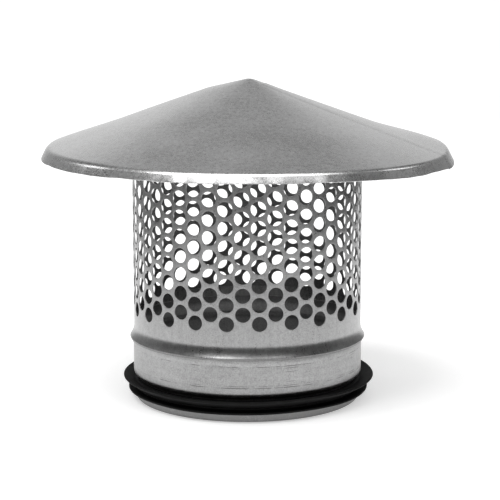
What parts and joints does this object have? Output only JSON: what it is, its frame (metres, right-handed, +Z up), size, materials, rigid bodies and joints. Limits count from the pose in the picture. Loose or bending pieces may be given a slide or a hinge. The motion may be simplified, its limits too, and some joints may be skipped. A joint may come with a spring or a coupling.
{
  "type": "chimney cowl",
  "caption": "Conical rain hat on a perforated round tube, over a beaded duct spigot with a double-lipped rubber seal.",
  "frame": {"origin": "centre of the spigot's foot ring, on the surface that the cowl stands on", "axes": "+Z up along the flue to the hat's tip, -Y towards the front as pictured, +X to its right"},
  "size_m": [0.28, 0.28, 0.2199],
  "materials": {
    "galvanised_hat": "dull galvanised sheet with a fine mottle",
    "galvanised_mesh": "galvanised perforated sheet, brighter at the cut edges",
    "galvanised_spigot": "galvanised sheet with faint roll lines",
    "black_rubber": "matt black rubber"
  },
  "bodies": {
    "root": {"hat": "galvanised_hat", "mesh_tube": "galvanised_mesh", "spigot": "galvanised_spigot", "lip_seal": "black_rubber"}
  },
  "joints": []
}
